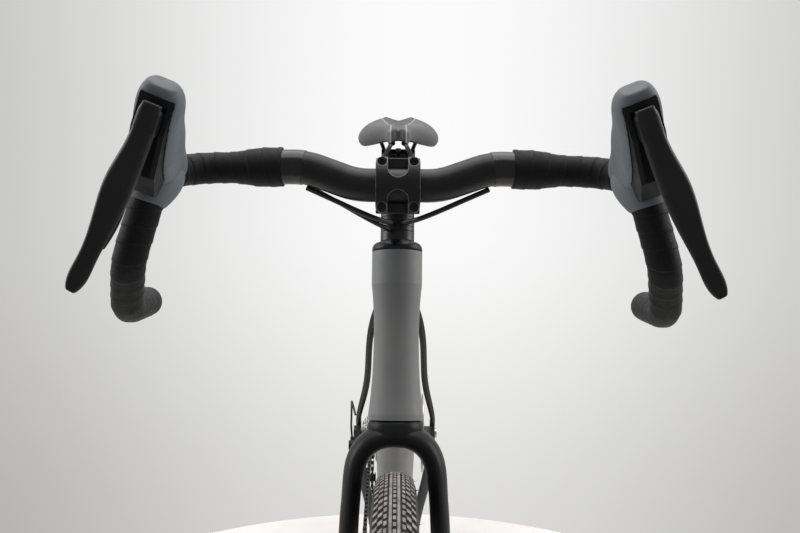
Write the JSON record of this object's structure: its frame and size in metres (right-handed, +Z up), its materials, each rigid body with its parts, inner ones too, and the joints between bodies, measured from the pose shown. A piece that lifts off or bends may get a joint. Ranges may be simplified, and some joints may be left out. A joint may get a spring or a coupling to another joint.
{
  "type": "gravel bicycle",
  "caption": "Drop-bar gravel bicycle with disc brakes, hooded brake levers, wide knobbly tyres, a single chainring and a rear derailleur; it steers, rolls, pedals, shifts and brakes.",
  "frame": {"origin": "on the ground, midway between the two wheels' contact points", "axes": "+X forwards, +Y to the rider's left, +Z up"},
  "size_m": [1.7315, 0.543, 1.0456],
  "materials": {
    "frame_paint": "matte",
    "black_paint": "matte",
    "satin_black": "satin",
    "gloss_black": "gloss",
    "hood_rubber": "matte",
    "bar_tape": "matte",
    "tyre": "matte",
    "rim": "satin",
    "steel": "satin",
    "alloy": "satin",
    "dark_alloy": "satin",
    "saddle_cover": "matte",
    "black_plastic": "matte",
    "hose": "satin"
  },
  "bodies": {
    "frame_body": {"frame": "frame_paint", "derailleur_hanger": "dark_alloy", "seat_collar": "satin_black", "headset_bearings": "steel", "bottom_bracket": "dark_alloy", "rear_caliper": "satin_black", "rear_thru_axle": "alloy", "chain": "steel", "rear_shift_housing": "hose", "derailleur_body": "satin_black"},
    "seat": {"seatpost": "satin_black", "saddle_clamp": "satin_black", "saddle_rails": "dark_alloy", "saddle_shell": "black_plastic", "saddle_pad": "saddle_cover"},
    "steering": {"fork": "black_paint", "steerer_cap": "satin_black", "stem": "satin_black", "stem_faceplate": "satin_black", "stem_bolts": "steel", "headset_spacers": "satin_black", "headset_cover": "satin_black", "handlebar": "satin_black", "bar_tape": "bar_tape", "bar_end_plugs": "black_plastic", "hood_left": "hood_rubber", "hood_right": "hood_rubber", "lever_bracket_left": "gloss_black", "lever_bracket_right": "gloss_black", "bar_cables": "hose", "front_caliper": "satin_black", "front_thru_axle": "alloy"},
    "front_wheel": {"front_tyre": "tyre", "front_rim": "rim", "front_spokes": "steel", "front_hub": "satin_black", "front_rotor": "steel"},
    "rear_wheel": {"rear_tyre": "tyre", "rear_rim": "rim", "rear_spokes": "steel", "rear_hub": "satin_black", "rear_rotor": "steel"},
    "cassette_body": {"cassette": "steel"},
    "crankset": {"crank_arm_right": "satin_black", "crank_arm_left": "satin_black", "chainring": "satin_black", "pedal_axles": "steel"},
    "left_pedal": {"pedal_left": "black_plastic"},
    "right_pedal": {"pedal_right": "black_plastic"},
    "left_lever": {"brake_lever_left": "satin_black"},
    "right_lever": {"brake_lever_right": "satin_black"},
    "right_paddle": {"shift_paddle_right": "satin_black"},
    "outer_link": {"derailleur_outer_link": "satin_black"},
    "inner_link": {"derailleur_inner_link": "satin_black"},
    "knuckle": {"derailleur_knuckle": "satin_black"},
    "cage": {"derailleur_cage": "dark_alloy", "chain_in_cage": "steel"},
    "guide_wheel": {"guide_pulley": "black_plastic"},
    "tension_wheel": {"tension_pulley": "black_plastic"}
  },
  "joints": [
    {"name": "steering_turn", "type": "hinge", "parent": "frame_body", "child": "steering", "pos_m": [0.28758, 0, 0.874], "axis": [-0.3173, 0, 0.9483], "range_deg": [-60, 60]},
    {"name": "front_wheel_spin", "type": "hinge", "parent": "steering", "child": "front_wheel", "pos_m": [0.5153, 0, 0.351], "axis": [0, 1, 0], "continuous": true},
    {"name": "rear_wheel_spin", "type": "hinge", "parent": "frame_body", "child": "rear_wheel", "pos_m": [-0.5153, 0, 0.351], "axis": [0, 1, 0], "continuous": true},
    {"name": "crank_spin", "type": "hinge", "parent": "frame_body", "child": "crankset", "pos_m": [-0.09442, 0, 0.279], "axis": [0, 1, 0], "continuous": true, "deforming": ["chain", "chain_in_cage"]},
    {"name": "cassette_spin", "type": "hinge", "parent": "frame_body", "child": "cassette_body", "pos_m": [-0.5153, 0, 0.351], "axis": [0, 1, 0], "continuous": true},
    {"name": "left_pedal_spin", "type": "hinge", "parent": "crankset", "child": "left_pedal", "pos_m": [-0.24812, 0, 0.20069], "axis": [0, 1, 0], "continuous": true},
    {"name": "right_pedal_spin", "type": "hinge", "parent": "crankset", "child": "right_pedal", "pos_m": [0.05928, 0, 0.35731], "axis": [0, 1, 0], "continuous": true},
    {"name": "left_brake_pull", "type": "hinge", "parent": "steering", "child": "left_lever", "pos_m": [0.48233, 0.19152, 1.01088], "axis": [0, 0.9272, 0.3746], "range_deg": [0, 16], "stiffness_Nm_per_rad": 1.5, "springref_deg": -8.59},
    {"name": "right_brake_pull", "type": "hinge", "parent": "steering", "child": "right_lever", "pos_m": [0.48233, -0.19152, 1.01088], "axis": [0, 0.9272, -0.3746], "range_deg": [0, 16], "stiffness_Nm_per_rad": 1.5, "springref_deg": -8.59},
    {"name": "shift_push", "type": "hinge", "parent": "right_lever", "child": "right_paddle", "pos_m": [0.47533, -0.22388, 0.94414], "axis": [1, 0, 0], "range_deg": [0, 12], "stiffness_Nm_per_rad": 0.3, "springref_deg": -11.46},
    {"name": "outer_link_swing", "type": "hinge", "parent": "frame_body", "child": "outer_link", "pos_m": [-0.56869, -0.0793, 0.28954], "axis": [0.2988, 0.7071, 0.6409], "range_deg": [-33, 33], "stiffness_Nm_per_rad": 2},
    {"name": "inner_link_swing", "type": "hinge", "parent": "frame_body", "child": "inner_link", "pos_m": [-0.57317, -0.0687, 0.27993], "axis": [0.2988, 0.7071, 0.6409], "range_deg": [-33, 33]},
    {"name": "knuckle_swing", "type": "hinge", "parent": "outer_link", "child": "knuckle", "pos_m": [-0.52519, -0.0793, 0.26926], "axis": [0.2988, 0.7071, 0.6409], "range_deg": [-33, 33]},
    {"name": "cage_swing", "type": "hinge", "parent": "knuckle", "child": "cage", "pos_m": [-0.5093, -0.047, 0.256], "axis": [0, 1, 0], "range_deg": [-35, 25], "stiffness_Nm_per_rad": 1, "deforming": ["chain", "chain_in_cage"]},
    {"name": "guide_pulley_spin", "type": "hinge", "parent": "cage", "child": "guide_wheel", "pos_m": [-0.5133, -0.047, 0.251], "axis": [0, 1, 0], "continuous": true},
    {"name": "tension_pulley_spin", "type": "hinge", "parent": "cage", "child": "tension_wheel", "pos_m": [-0.47809, -0.047, 0.17474], "axis": [0, 1, 0], "continuous": true},
    {"name": "seatpost_slide", "type": "slide", "parent": "frame_body", "child": "seat", "axis": [-0.284, 0, 0.9588], "range_m": [-0.08, 0.04]}
  ],
  "couplings": [
    {"joint": "cassette_spin", "follows": "crank_spin", "ratio": 1.9048},
    {"joint": "guide_pulley_spin", "follows": "crank_spin", "ratio": -3.6364},
    {"joint": "tension_pulley_spin", "follows": "crank_spin", "ratio": 3.0769},
    {"joint": "inner_link_swing", "follows": "outer_link_swing", "ratio": 1},
    {"joint": "knuckle_swing", "follows": "outer_link_swing", "ratio": -1}
  ]
}
